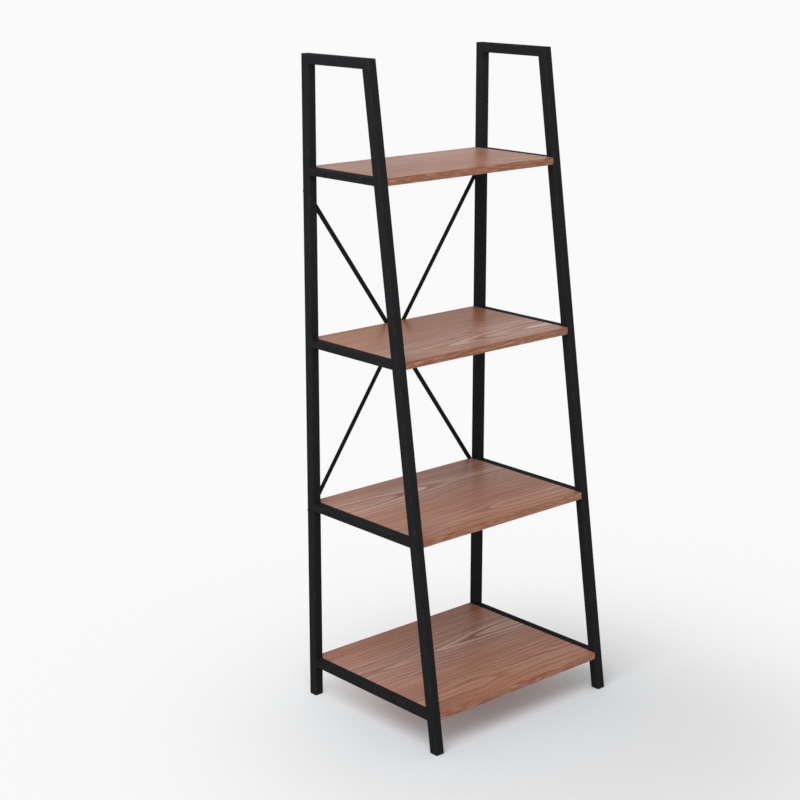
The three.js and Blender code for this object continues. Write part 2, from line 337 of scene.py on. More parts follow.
# Where each board's cut passes over its two growth centres: the line it follows across the board,
# as a share of the depth from the back edge, the stretch of x over which the ring level changes,
# and the levels, in rings, at its two ends. An arch closes wherever the level passes a whole
# number. The last number is how strongly the board's figure shows.
GROWTH_CENTRES = {
    "bottom": ((0.385, -0.250, 0.240, -1.15, 1.6), (0.86, -0.09, 0.06, 0.5, -0.5), 1.0),
    "lower": ((0.270, -0.173, 0.105, 1.6, -0.6), (0.84, -0.05, 0.08, -0.4, 0.6), 0.9),
    "upper": ((0.830, -0.190, 0.260, -0.5, 2.5), (0.64, -0.02, 0.10, -0.6, 0.4), 0.7),
    "top": ((0.170, -0.150, 0.120, -0.4, 0.6), (0.85, 0.02, 0.20, 0.6, -0.4), 0.4),
}

# The waves that bend the grain: cells a metre, detail, shift from the board's seed, and reach.
GRAIN_WAVES = (
    ((2.4, 6, 1), 1, 0, 34 * MM),
    ((9, 30, 1), 2, 3, 15 * MM),
    ((34, 120, 1), 2, 6, 3 * MM),
)


def bent_grain(graph, y, seed):
    """The place across the board, bent by long, middling and short waves."""
    for cells, detail, shift, reach in GRAIN_WAVES:
        wave = graph.math("SUBTRACT", graph.noise(cells, detail, shift=seed + shift), 0.5)
        y = graph.times_plus(wave, reach, y)
    return y


def growth_centre(graph, x, y, centre, low, high):
    """The ring level beside one growth centre, and how near it is, from 1 on its line to 0."""
    share, start, end, level_at_start, level_at_end = centre
    across = graph.math("SUBTRACT", y, high.y - share * (high.y - low.y))
    squared = graph.times(across, across)
    rounded = graph.math("SQRT", graph.math("ADD", squared, CENTRE_SOFTNESS**2))
    blunt = graph.math("SUBTRACT", rounded, CENTRE_SOFTNESS)
    depth = graph.times(blunt, CROWDING / RING_SPACING)
    depth = graph.times_plus(squared, CROWDING_GAIN / RING_SPACING, depth)
    along = graph.span(x, start, end, level_at_start, level_at_end, smooth=True)
    near = graph.math("POWER", graph.times_plus(squared, 1 / FIGURE_REACH**2, 1.0), -2.0)
    return graph.math("SUBTRACT", along, depth), near


def growth_rings(graph, tier, x, bent):
    """The ring level, how near the main centre is, and how near either centre is."""
    main_centre, second_centre, _ = GROWTH_CENTRES[tier]
    main, near_main = growth_centre(graph, x, bent, main_centre, *board_boxes[tier])
    second, near_second = growth_centre(graph, x, bent, second_centre, *board_boxes[tier])
    rings = graph.math("SMOOTH_MAX", main, second, 0.5)
    near = graph.math("MAXIMUM", near_main, graph.times(near_second, SECOND_STRENGTH))
    return rings, near_main, near


def ring_layers(graph, rings, near, calm, figure):
    """Each ring starts pale, darkens to its end and breaks off. Rings differ in strength."""
    part = graph.math("FRACT", rings)
    darkening = graph.span(part, RING_DARKENS, RING_BREAKS, smooth=True)
    dark = graph.times(darkening, graph.span(part, RING_BREAKS, 1.0, 1.0, 0.0))
    fading = graph.span(part, RING_PALEST, RING_PALE_END, 1.0, 0.0, smooth=True)
    pale = graph.times(graph.span(part, 0.0, RING_PALEST), fading)
    number = graph.math("FLOOR", rings)
    chance = graph.add("ShaderNodeTexWhiteNoise", None, number, noise_dimensions="1D")
    own_strength = graph.times_plus(chance.outputs["Value"], 0.9, 0.3)
    steady = graph.times_plus(calm, 0.5, 0.5)
    core = graph.times(near, 1.5 * figure)
    strength = graph.times(graph.times(steady, own_strength), core, clamp=True)
    return (
        (graph.times(pale, strength), PALE_BROWN),
        (graph.times(graph.times(dark, strength), DARK_RINGS), RING_BROWN),
    )


def line_layers(graph, rings, x, near, calm, figure, seed):
    """Thinner lines of uneven strength that follow the same rings."""
    place = graph.join(graph.times(rings, 1.5), graph.times(x, 4.0), seed)
    lines = graph.noise(1, 3, place=place)
    busy = graph.times(graph.times_plus(near, 0.75 * figure, 0.14 * figure), calm)
    return (
        (graph.times(graph.span(lines, 0.50, 0.32, 0.0, PALE_LINES), busy), PALE_BROWN),
        (graph.times(graph.span(lines, 0.50, 0.66, 0.0, DARK_LINES), busy), RING_BROWN),
    )


def streak_layers(graph, x, bent, near, figure, seed):
    """Long streaks that follow the bent grain, and finer threads that run straight."""
    streaks = graph.noise((2.8, 130, 1), 4, place=graph.join(x, bent, 0.0), shift=seed + 12)
    threads = graph.noise((9, 380, 1), 4, shift=seed + 4)
    streaked = graph.times_plus(near, 0.2 * figure, 0.10 + 0.05 * figure)
    return (
        (graph.times(graph.span(streaks, 0.51, 0.70, 0.0, DARK_STREAKS), streaked), RING_BROWN),
        (graph.times(graph.span(streaks, 0.49, 0.30), streaked), PALE_BROWN),
        (graph.span(threads, 0.50, 0.70, 0.0, DARK_THREADS), RING_BROWN),
        (graph.span(threads, 0.48, 0.28, 0.0, PALE_THREADS), PALE_BROWN),
    )


def walnut_face(tier, seed):
    """The broad faces: rings that run along X and close in cathedral arches."""
    graph = Graph(f"walnut_{tier}_face")
    figure = GROWTH_CENTRES[tier][-1]
    x, y, _ = graph.split(graph.place)
    bent = bent_grain(graph, y, seed)
    rings, near_main, near = growth_rings(graph, tier, x, bent)
    calm_noise = graph.noise((2.0, 8, 1), 2, shift=seed + 9)
    calm = graph.span(calm_noise, 0.38, 0.60, 0.15, 1.0, smooth=True)
    tone = graph.noise((1.6, 12, 1), 3, shift=seed + 5)
    fibre = graph.noise((24, 900, 1), 3, shift=seed)
    pores = graph.span(graph.noise((50, 1500, 1), 1, shift=seed + 2), 0.62, 0.78)

    wide = graph.math("POWER", near_main, 0.36)
    greying = graph.times_plus(wide, 0.85, graph.span(tone, 0.38, 0.62, -0.28, 0.24), clamp=True)
    layers = (
        (greying, GREY_BROWN),
        *line_layers(graph, rings, x, near, calm, figure, seed),
        *ring_layers(graph, rings, near, calm, figure),
        *streak_layers(graph, x, bent, near, figure, seed),
        (graph.times(pores, PORES), PORE_BROWN),
        (graph.spread(fibre, 0.0, FIBRES), PORE_BROWN),
    )
    graph.set(base_color=graph.paint(WARM_BROWN, layers), specular_ior_level=0.14)
    graph.set(roughness=graph.times_plus(pores, 0.15, graph.spread(tone, 0.36, 0.43)))
    graph.bump(graph.times_plus(pores, -1.0, graph.times(fibre, 0.3)), 0.03 * MM, 0.5)
    return graph.material


# How far each board's edge band goes from the darker brown towards the lighter one.
# The upper boards' bands go less far, which is painted shade that darkens them where the scene lights
# them more than the lower ones.
BAND_LIGHTNESS_AND_PAINTED_SHADE = {"bottom": 0.9, "lower": 0.7, "upper": 0.2, "top": 0.15}
BAND_DARK = (0.225, 0.076, 0.030, 1.0)
BAND_LIGHT = (0.350, 0.147, 0.073, 1.0)


def walnut_edge(tier, seed):
    """The edge band: mottled browns with streaks along the band."""
    graph = Graph(f"walnut_{tier}_edge")
    mottle = graph.noise((22, 22, 120), 4, shift=seed)
    streaks = graph.noise((30, 30, 900), 3, shift=seed + 4)
    layers = (
        # Painted shade: the upper boards' bands reach less far towards the lighter brown.
        (graph.span(mottle, 0.32, 0.68, 0.0, BAND_LIGHTNESS_AND_PAINTED_SHADE[tier]), BAND_LIGHT),
        (graph.span(streaks, 0.5, 0.7, 0.0, 0.5), RING_BROWN),
        (graph.span(streaks, 0.5, 0.3, 0.0, 0.4), PALE_BROWN),
    )
    graph.set(base_color=graph.paint(BAND_DARK, layers), specular_ior_level=0.25)
    graph.set(roughness=graph.spread(mottle, 0.34, 0.44))
    graph.bump(streaks, 0.03 * MM, 0.4)
    return graph.material


# ------------------------------------------------------------------ mesh building

SHARP_ANGLE = math.radians(35)

# How exposed the middle and the two ends of a rounded corner are to wear.
CORNER_WEAR = 1.0
CORNER_END_WEAR = 0.55


def make_object(mesh_data, name, materials):
    bmesh.ops.recalc_face_normals(mesh_data, faces=mesh_data.faces)
    mesh = bpy.data.meshes.new(name)
    mesh_data.to_mesh(mesh)
    mesh_data.free()
    for material in materials:
        mesh.materials.append(material)
    made = bpy.data.objects.new(name, mesh)
    bpy.context.scene.collection.objects.link(made)
    return made


def finish_piece(mesh_data, name, materials, replaced=()):
    """Makes the bmesh a piece that rides with the shelf and stands for its CAD nodes."""
    piece = make_object(mesh_data, name, materials)
    piece.data.shade_smooth()
    piece.data.set_sharp_from_angle(angle=SHARP_ANGLE)
    if replaced:
        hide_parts(*replaced)
    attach(piece, BODY)


def new_mesh():
    mesh_data = bmesh.new()
    return mesh_data, mesh_data.verts.layers.float.new(EDGE)


def add_ring(mesh_data, layer, points, wear, transform=Matrix.Identity(4)):
    ring = []
    for point, amount in zip(points, wear):
        vertex = mesh_data.verts.new(transform @ Vector(point))
        vertex[layer] = amount
        ring.append(vertex)
    return ring


def bridge(mesh_data, first, second, materials=None):
    """A closed band of faces between two rings with as many points each."""
    for i in range(len(first)):
        j = (i + 1) % len(first)
        face = mesh_data.faces.new((first[i], first[j], second[j], second[i]))
        if materials:
            face.material_index = materials[i]


def close_body(mesh_data, rings, materials=None, cap_material=0):
    """Bands between the rings in turn, and a cap on the first and the last."""
    for first, second in zip(rings, rings[1:]):
        bridge(mesh_data, first, second, materials)
    for ring in (rings[0], rings[-1]):
        cap = mesh_data.faces.new(ring)
        cap.material_index = cap_material


def evenly(start, end, steps):
    return [start + (end - start) * i / steps for i in range(steps + 1)]


def rounded_section(width, height, radius, steps=6, flat=2 * MM):
    """A rounded rectangle round the origin, and how exposed each point is to wear."""
    points, wear = [], []
    for quarter in range(4):
        turn = quarter * QUARTER_TURN
        sign_x = 1 if quarter in (0, 3) else -1
        sign_y = 1 if quarter in (0, 1) else -1
        centre = Vector((sign_x * (width / 2 - radius), sign_y * (height / 2 - radius)))
        out = Vector((math.cos(turn), math.sin(turn)))
        ahead = Vector((-math.sin(turn), math.cos(turn)))
        points.append(centre + radius * out - flat * ahead)
        for angle in evenly(turn, turn + QUARTER_TURN, steps):
            points.append(centre + radius * Vector((math.cos(angle), math.sin(angle))))
        points.append(centre + radius * ahead - flat * out)
        wear += [0.0, CORNER_END_WEAR, *[CORNER_WEAR] * (steps - 1), CORNER_END_WEAR, 0.0]
    return points, wear


# ------------------------------------------------------------------ tubes

TUBE_WALL = 1.2 * MM
TUBE_CORNER_RADIUS = 1.5 * MM
TUBE_INNER_RADIUS = TUBE_CORNER_RADIUS / 3
TUBE_END_EASE = 0.25 * MM

# The gap left where one tube meets the next.
WELD_SEAM = 0.05 * MM


def tube_piece(name, height, start, end, transform, material):
    """A hollow tube along its own +Z. Each end is (where its cut meets the middle, its slope)."""
    mesh_data, layer = new_mesh()
    outer, wear = rounded_section(TUBE_SIZE, height, TUBE_CORNER_RADIUS)
    no_wear = [0.0] * len(wear)

    def shrunk(by, radius):
        return rounded_section(TUBE_SIZE - 2 * by, height - 2 * by, radius)[0]

    def ring(section, cut, inset, exposed):
        at, slope = cut
        points = [(p.x, p.y, at + slope * p.y + inset) for p in section]
        return add_ring(mesh_data, layer, points, exposed, transform)

    eased = shrunk(TUBE_END_EASE, TUBE_CORNER_RADIUS)
    inner = shrunk(TUBE_WALL, TUBE_INNER_RADIUS)
    rings = [
        ring(inner, start, 0, no_wear),
        ring(eased, start, 0, no_wear),
        ring(outer, start, TUBE_END_EASE, wear),
        ring(outer, end, -TUBE_END_EASE, wear),
        ring(eased, end, 0, no_wear),
        ring(inner, end, 0, no_wear),
    ]
    for first, second in zip(rings, rings[1:] + rings[:1]):
        bridge(mesh_data, first, second)
    finish_piece(mesh_data, name + "_tube", [material], [name])


def along_y(x, z):
    """Turns a body that lies along its own +Z to lie towards the back, its +Y facing down."""
    return Matrix.Translation((x, 0, z)) @ Matrix.Rotation(-QUARTER_TURN, 4, "X")


def side_frame(side, sign, material):
    x = sign * TUBE_CENTRE_X
    top_z = FRAME_HEIGHT - TUBE_HALF
    upright = Matrix.Translation((x, REAR_Y - TUBE_HALF, 0))
    post_ends = (TUBE_BOTTOM_Z, 0), (top_z - WELD_SEAM, 1)
    tube_piece(f"{side}_rear_post", TUBE_SIZE, *post_ends, upright, material)

    leg_y = leg_front_y(TUBE_BOTTOM_Z) + LEG_DEPTH / 2
    leaning = Matrix.Translation((x, leg_y, TUBE_BOTTOM_Z)) @ Matrix.Rotation(-LEAN, 4, "X")
    leg_length = (FRAME_HEIGHT - TUBE_BOTTOM_Z) / math.cos(LEAN)
    leg_top = leg_length - TUBE_HALF * (LEAN_SLOPE + LEG_MITRE_SLOPE) - WELD_SEAM
    leg_ends = (0, LEAN_SLOPE), (leg_top, -LEG_MITRE_SLOPE)
    tube_piece(f"{side}_front_leg", TUBE_SIZE, *leg_ends, leaning, material)

    bar_front = leg_front_y(FRAME_HEIGHT) + TUBE_HALF * LEG_MITRE_SLOPE + WELD_SEAM
    bar_ends = (bar_front, LEG_MITRE_SLOPE), (REAR_Y - TUBE_HALF - WELD_SEAM, -1)
    tube_piece(f"{side}_top_bar", TUBE_SIZE, *bar_ends, along_y(x, top_z), material)

    for tier in TIERS:
        z = tier_middle(tier)
        rung_ends = (leg_rear_y(z) + WELD_SEAM, -LEAN_SLOPE), (TUBE_INSIDE_Y - WELD_SEAM, 0)
        tube_piece(f"{side}_{tier}_rung", BOARD_THICKNESS, *rung_ends, along_y(x, z), material)


# ------------------------------------------------------------------ weld beads

# A bead's legs along the two faces, its length, its ripples and its hollow section.
BEAD_LEG = 2.2 * MM
BEAD_LEAST_LEG = 0.05 * MM
BEAD_LENGTH = TUBE_SIZE - 2.4 * MM
BEAD_PITCH = 1.6 * MM
BEAD_RIPPLE = 0.07
BEAD_ROUGHNESS = 0.03
BEAD_HOLLOW = 0.38
BEAD_FLARE = 1.4
BEAD_ROOT = 0.1 * MM
BEAD_WEAR = 0.15
BEAD_STEPS = 44
BEAD_PROFILE_STEPS = 6


def bead(mesh_data, layer, corner, first_way, second_way, dice):
    """A fillet of weld along X in the corner between two faces that lie along the two ways."""
    rings = []
    for share in evenly(0.0, 1.0, BEAD_STEPS):
        x = (share - 0.5) * BEAD_LENGTH
        place = corner + Vector((x, 0, 0))
        taper = math.sqrt(max(0.0, 1 - abs(2 * share - 1) ** 8))
        ripple = 1 + BEAD_RIPPLE * math.cos(2 * math.pi * x / BEAD_PITCH)
        ripple += dice.uniform(-BEAD_ROUGHNESS, BEAD_ROUGHNESS)
        leg = max(BEAD_LEG * taper * ripple, BEAD_LEAST_LEG)
        points = [place - (first_way + second_way) * BEAD_ROOT]
        for turn in evenly(0.0, QUARTER_TURN, BEAD_PROFILE_STEPS):
            arm = leg * (1 - BEAD_HOLLOW * math.sin(2 * turn))
            away = first_way * math.cos(turn) ** BEAD_FLARE + second_way * math.sin(turn) ** BEAD_FLARE
            points.append(place + away * arm)
        rings.append(add_ring(mesh_data, layer, points, [BEAD_WEAR] * len(points)))
    close_body(mesh_data, rings)


def weld_beads(side, sign, material):
    """Beads above and below each rung's two ends, and inside the two top corners."""
    dice = random.Random(f"{side} welds")
    mesh_data, layer = new_mesh()
    x = sign * TUBE_CENTRE_X
    back, up = Vector((0, 1, 0)), Vector((0, 0, 1))
    leg_up = Vector((0, math.sin(LEAN), math.cos(LEAN)))

    def pair(z, way):
        bead(mesh_data, layer, Vector((x, leg_rear_y(z), z)), back, way * leg_up, dice)
        bead(mesh_data, layer, Vector((x, TUBE_INSIDE_Y, z)), -back, way * up, dice)

    for tier in TIERS:
        low, high = board_boxes[tier]
        pair(high.z, 1)
        pair(low.z, -1)
    pair(FRAME_HEIGHT - TUBE_SIZE, -1)
    finish_piece(mesh_data, f"{side}_weld_beads", [material])


# ------------------------------------------------------------------ boards

BOARD_ARRIS = 0.8 * MM
BOARD_ARRIS_STEPS = 4
BOARD_END_EASE = 0.4 * MM
BAND_THICKNESS = 1.0 * MM
BAND_SEAM = 0.12 * MM
FACE_MARGIN = 6 * MM
FACE, BAND = 0, 1


def board_corner(half_y, half_z):
    """A corner's outline in (y, z, wear, material of the face that follows), from the edge up."""
    points = []
    for turn in evenly(0.0, QUARTER_TURN, BOARD_ARRIS_STEPS):
        y = half_y - BOARD_ARRIS * (1 - math.cos(turn))
        z = half_z - BOARD_ARRIS * (1 - math.sin(turn))
        points.append((y, z, math.sin(2 * turn), BAND))
    seam_y = half_y - BAND_THICKNESS
    points.append((seam_y, half_z, 0.0, BAND))
    points.append((seam_y - BAND_SEAM / 2, half_z - BAND_SEAM / 2, 0.0, BAND))
    points.append((seam_y - BAND_SEAM, half_z, 0.0, FACE))
    points.append((seam_y - FACE_MARGIN, half_z, 0.0, FACE))
    return points


def turned_corner(corner, sign_y, sign_z):
    """The corner mirrored, and run backwards where the outline goes from the face to the edge."""
    kinds = [point[3] for point in corner]
    if sign_y != sign_z:
        # The face that follows a point is then the one that led up to it.
        corner = corner[::-1]
        kinds = kinds[-2::-1] + [BAND]
    return [(sign_y * y, sign_z * z, wear, kind) for (y, z, wear, _), kind in zip(corner, kinds)]


def board_piece(tier, face_material, edge_material):
    low, high = board_boxes[tier]
    centre = (low + high) / 2
    half_x = (high.x - low.x) / 2
    corner = board_corner((high.y - low.y) / 2, (high.z - low.z) / 2)
    profile = []
    for signs in ((1, 1), (-1, 1), (-1, -1), (1, -1)):
        profile += turned_corner(corner, *signs)
    wear = [point[2] for point in profile]
    kinds = [point[3] for point in profile]

    mesh_data, layer = new_mesh()
    rings = []
    for x, shrink in (
        (-half_x, BOARD_END_EASE),
        (-half_x + BOARD_END_EASE, 0.0),
        (half_x - BOARD_END_EASE, 0.0),
        (half_x, BOARD_END_EASE),
    ):
        points = []
        for y, z, _, _ in profile:
            offset = Vector((x, y - math.copysign(shrink, y), z - math.copysign(shrink, z)))
            points.append(centre + offset)
        rings.append(add_ring(mesh_data, layer, points, wear))
    close_body(mesh_data, rings, kinds, BAND)
    materials = [face_material, edge_material]
    finish_piece(mesh_data, f"{tier}_board_laminated", materials, [f"{tier}_board"])


# ------------------------------------------------------------------ screws

# Points round a screw, and rings up the curve of its head.
HEAD_SEGMENTS = 48
HEAD_STEPS = 6

# Shares of the shank's radius.
THREAD_ROOT = 0.78
TIP_END = 0.12

RUNG_SHANK_RADIUS = 2 * MM
RUNG_POINT = 4 * MM
RUNG_THREAD = 1.6 * MM
PAN_EASE = 0.15 * MM
PAN_TURN = math.radians(62)
PAN_SAG = 0.02 * MM

# The rim as a share of the head's height, and the rest as shares of its radius.
PAN_RIM = 0.45
PAN_CROWN = 0.62
RECESS_ARM = 0.55
RECESS_HALF_WIDTH = 0.15

BOLT_RADIUS = 2.5 * MM
BOLT_TIP = 1 * MM
BOLT_THREAD = 0.8 * MM
BOLT_HEAD_EASE = 0.2 * MM
SOCKET_EASE = 0.15 * MM
SOCKET_END = 0.4 * MM

CAP_HEAD_HEIGHT = 5 * MM
CAP_HEAD_ROUND = 0.5 * MM
CAP_SOCKET = (4 * MM, 2.5 * MM)
BUTTON_HEAD_HEIGHT = 2.7 * MM
BUTTON_CROWN = 0.6
BUTTON_RIM = 0.5 * MM
BUTTON_SOCKET = (3 * MM, 1.5 * MM)


def circle_outline(radius):
    return lambda angle: radius


def hexagon_outline(across_flats):
    sector = math.pi / 3
    return lambda angle: across_flats / 2 / math.cos((angle + sector / 2) % sector - sector / 2)


def cross_outline(arm, half_width):
    def radius(angle):
        off_arm = (angle + math.pi / 4) % QUARTER_TURN - math.pi / 4
        return min(arm, half_width / max(abs(math.sin(off_arm)), 1e-6))

    return radius


def screw_piece(levels, transform, name, material):
    """A body along its own +Z from levels of (outline, z, wear), from its tip up over its head."""
    mesh_data, layer = new_mesh()
    rings = []
    for outline, z, wear in levels:
        points = []
        for i in range(HEAD_SEGMENTS):
            angle = 2 * math.pi * i / HEAD_SEGMENTS
            radius = outline(angle)
            points.append((radius * math.cos(angle), radius * math.sin(angle), z))
        rings.append(add_ring(mesh_data, layer, points, [wear] * HEAD_SEGMENTS, transform))
    close_body(mesh_data, rings)
    finish_piece(mesh_data, name + "_detailed", [material], [name])


def threaded_shank(radius, length, tip, pitch):
    """Levels for a shank with thread ridges, from its tip up to the underside of the head."""
    root = circle_outline(THREAD_ROOT * radius)
    crest = circle_outline(radius)
    levels = [(circle_outline(TIP_END * radius), -length, 0.0)]
    z = -length + tip
    while z < -pitch:
        levels.append((root, z, 0.0))
        levels.append((crest, z + pitch / 2, 0.0))
        z += pitch
    levels.append((root, z, 0.0))
    levels.append((root, 0.0, 0.0))
    return levels


def pan_head(radius, height):
    """Levels for a pan head with a cross recess."""
    rim = PAN_RIM * height
    levels = [
        (circle_outline(radius - PAN_EASE), 0.0, 0.2),
        (circle_outline(radius), PAN_EASE, 0.4),
        (circle_outline(radius), rim, 0.5),
    ]
    for i in range(1, HEAD_STEPS + 1):
        turn = i / HEAD_STEPS * PAN_TURN
        ring_radius = max(radius * math.cos(turn), PAN_CROWN * radius)
        rise = (height - rim) * math.sin(turn) / math.sin(PAN_TURN)
        sag = PAN_SAG * (HEAD_STEPS - i)
        levels.append((circle_outline(ring_radius), rim + rise - sag, 0.6))
    arm, half_width = RECESS_ARM * radius, RECESS_HALF_WIDTH * radius
    levels.append((cross_outline(arm, half_width), height, 1.0))
    levels.append((cross_outline(0.8 * arm, 0.8 * half_width), 0.5 * height, 0.2))
    levels.append((cross_outline(0.3 * arm, 0.5 * half_width), 0.2 * height, 0.0))
    return levels


def socket_head(radius, height, crown_radius, crown_start, socket):
    """Levels for a head with a hexagon socket. The side rises to crown_start and then rounds in."""
    across_flats, depth = socket
    levels = [
        (circle_outline(radius - BOLT_HEAD_EASE), 0.0, 0.2),
        (circle_outline(radius), BOLT_HEAD_EASE, 0.3),
    ]
    for turn in evenly(0.0, QUARTER_TURN, HEAD_STEPS):
        ring_radius = crown_radius + (radius - crown_radius) * math.cos(turn)
        z = crown_start + (height - crown_start) * math.sin(turn)
        levels.append((circle_outline(ring_radius), z, 0.4 + 0.5 * math.sin(turn)))
    levels.append((hexagon_outline(across_flats + 2 * SOCKET_EASE), height, 1.0))
    levels.append((hexagon_outline(across_flats), height - SOCKET_EASE, 0.5))
    levels.append((hexagon_outline(across_flats), height - depth, 0.0))
    levels.append((circle_outline(0.3 * across_flats), height - depth - SOCKET_END, 0.0))
    return levels


def rung_screws(side, sign, material):
    """Two black screws on the outside of each rung, each turned by its own amount."""
    dice = random.Random(f"{side} rung screws")
    outward = Matrix.Rotation(sign * QUARTER_TURN, 4, "Y")
    face_x = sign * (TUBE_CENTRE_X + TUBE_HALF)
    for tier in TIERS:
        for end in ("front", "rear"):
            name = f"{side}_{tier}_{end}_screw"
            low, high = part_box(name)
            head_height = abs((high.x if sign > 0 else low.x) - face_x)
            length = high.x - low.x - head_height
            seat = Vector((face_x, (low.y + high.y) / 2, (low.z + high.z) / 2))
            turned = Matrix.Rotation(dice.uniform(0, QUARTER_TURN), 4, "Z")
            levels = threaded_shank(RUNG_SHANK_RADIUS, length, RUNG_POINT, RUNG_THREAD)
            levels += pan_head((high.z - low.z) / 2, head_height)
            screw_piece(levels, Matrix.Translation(seat) @ outward @ turned, name, material)


def bolt(name, head_height, head_levels, turn, material):
    """A bolt that points forward, its head at the back and turned about its axis by turn."""
    low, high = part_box(name)
    seat = Vector(((low.x + high.x) / 2, high.y - head_height, (low.z + high.z) / 2))
    length = high.y - low.y - head_height
    levels = threaded_shank(BOLT_RADIUS, length, BOLT_TIP, BOLT_THREAD) + head_levels
    backward = Matrix.Rotation(-QUARTER_TURN, 4, "X") @ Matrix.Rotation(turn, 4, "Z")
    screw_piece(levels, Matrix.Translation(seat) @ backward, name, material)


def head_radius(name):
    low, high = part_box(name)
    return (high.x - low.x) / 2


def brace_screws(material):
    """A cap screw at each end of the brace bars, and a button-head bolt where the bars cross."""
    dice = random.Random("brace screws")
    height = CAP_HEAD_HEIGHT
    for side, _ in SIDES:
        for level in ("lower", "upper"):
            name = f"{side}_{level}_brace_screw"
            radius = head_radius(name)
            crown = radius - CAP_HEAD_ROUND, height - CAP_HEAD_ROUND
            head_levels = socket_head(radius, height, *crown, CAP_SOCKET)
            bolt(name, height, head_levels, dice.uniform(0, math.pi / 3), material)

    radius = head_radius("crossing_bolt")
    crown = BUTTON_CROWN * radius, BUTTON_RIM
    head_levels = socket_head(radius, BUTTON_HEAD_HEIGHT, *crown, BUTTON_SOCKET)
    bolt("crossing_bolt", BUTTON_HEAD_HEIGHT, head_levels, 0.0, material)


# ------------------------------------------------------------------ brace bars

BRACE_WIDTH = 10 * MM
BRACE_THICKNESS = 2 * MM
BRACE_TIP = 8 * MM
BRACE_TIP_STEPS = 9
BRACE_FLAT_AT_POST = 40 * MM
BRACE_FLAT_AT_CROSSING = 18 * MM
BRACE_BEND_STEPS = 14
BRACE_EASE = 0.35 * MM


def brace_piece(name, slope_sign, step, half_length, angle, centre, material):
    """A flat bar with round ends and eased edges that steps back by step at the crossing."""
    mesh_data, layer = new_mesh()
    end = half_length + BRACE_TIP
    tip_radius = BRACE_WIDTH / 2
    least_width = 0.12 * tip_radius
    flat_start = half_length - BRACE_FLAT_AT_POST
    tip_turns = evenly(0.0, QUARTER_TURN, BRACE_TIP_STEPS)
    tip = [end - tip_radius * (1 - math.cos(turn)) for turn in tip_turns]
    bends = evenly(flat_start, BRACE_FLAT_AT_CROSSING, BRACE_BEND_STEPS)
    half = sorted(set(tip + bends))

    def set_back(x):
        share = (flat_start - abs(x)) / (flat_start - BRACE_FLAT_AT_CROSSING)
        return step * min(max(share, 0.0), 1.0)

    lie = Matrix.Translation(centre) @ Matrix.Rotation(slope_sign * angle, 4, "Y")
    rings = []
    for x in [-x for x in reversed(half)] + half:
        past = max(0.0, abs(x) - (end - tip_radius))
        half_width = math.sqrt(max(tip_radius**2 - past**2, least_width**2))
        ease = min(BRACE_EASE, 0.9 * half_width)
        section, wear = rounded_section(2 * half_width, BRACE_THICKNESS, ease, 3, 0.2 * half_width)
        points = [(x, p.y + BRACE_THICKNESS / 2 + set_back(x), p.x) for p in section]
        rings.append(add_ring(mesh_data, layer, points, wear, lie))
    close_body(mesh_data, rings)
    finish_piece(mesh_data, name + "_bar", [material], [name])


def x_brace(material):
    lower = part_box("right_lower_brace_screw")
    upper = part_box("right_upper_brace_screw")
    lower_z = (lower[0].z + lower[1].z) / 2
    upper_z = (upper[0].z + upper[1].z) / 2
    rise, width = upper_z - lower_z, 2 * TUBE_CENTRE_X
    half_length, angle = math.hypot(rise, width) / 2, math.atan2(rise, width)
    plane_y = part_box("inner_brace")[0].y
    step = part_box("outer_brace")[1].y - plane_y - BRACE_THICKNESS
    centre = Vector((0, plane_y, (lower_z + upper_z) / 2))
    brace_piece("inner_brace", 1, 0.0, half_length, angle, centre, material)
    brace_piece("outer_brace", -1, step, half_length, angle, centre, material)


# ------------------------------------------------------------------ foot plugs

PLUG_GAP = 0.1 * MM
STEM_SIZE = TUBE_SIZE - 2 * TUBE_WALL - 0.8 * MM
STEM_GROOVE = 0.4 * MM
STEM_TAPER = 1 * MM
STEM_RIBS = 3


def foot_plug(name, x, slope, material):
    """The flange under a tube's end, with eased edges, and the ribbed stem inside the tube."""
    low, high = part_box(name)
    stretch = math.hypot(1, slope)
    y = low.y + TUBE_SIZE * stretch / 2
    flange_top = TUBE_BOTTOM_Z - PLUG_GAP
    # The flange from the floor up: how much narrower it is than the tube, the height and the wear.
    flange = (
        (1.2 * MM, 0.0, 0.6),
        (0.4 * MM, 0.25 * MM, 1.0),
        (0.0, 0.8 * MM, 0.6),
        (0.0, flange_top - 0.3 * MM, 0.5),
        (0.4 * MM, flange_top, 0.3),
    )
    levels = [(TUBE_SIZE - narrower, z, wear) for narrower, z, wear in flange]
    levels.append((STEM_SIZE, flange_top, 0.0))
    rib_pitch = (high.z - flange_top) / (STEM_RIBS + 0.5)
    for i in range(STEM_RIBS):
        z = flange_top + (i + 0.5) * rib_pitch
        levels.append((STEM_SIZE - 2 * STEM_GROOVE, z, 0.0))
        levels.append((STEM_SIZE, z + 0.4 * rib_pitch, 0.0))
    levels.append((STEM_SIZE - 2 * STEM_TAPER, high.z, 0.0))

    mesh_data, layer = new_mesh()
    rings = []
    for size, z, wear in levels:
        section, _ = rounded_section(size, size * stretch, TUBE_CORNER_RADIUS, 4)
        points = [(x + p.x, y + p.y + slope * z, z) for p in section]
        rings.append(add_ring(mesh_data, layer, points, [wear] * len(points)))
    close_body(mesh_data, rings)
    finish_piece(mesh_data, name + "_moulded", [material], [name])


# ------------------------------------------------------------------ the shelf

coat = powder_coat()
black = black_steel()
zinc = zinc_steel()
plastic = moulded_plastic()

for side, sign in SIDES:
    side_frame(side, sign, coat)
    weld_beads(side, sign, coat)
    rung_screws(side, sign, black)
    foot_plug(f"{side}_rear_foot_plug", sign * TUBE_CENTRE_X, 0.0, plastic)
    foot_plug(f"{side}_front_foot_plug", sign * TUBE_CENTRE_X, LEAN_SLOPE, plastic)

# The seeds lie far enough apart that no two boards carry the same print.
for number, tier in enumerate(TIERS):
    board_piece(tier, walnut_face(tier, 10.0 + 7 * number), walnut_edge(tier, 2.0 + 5 * number))
x_brace(coat)
brace_screws(black)

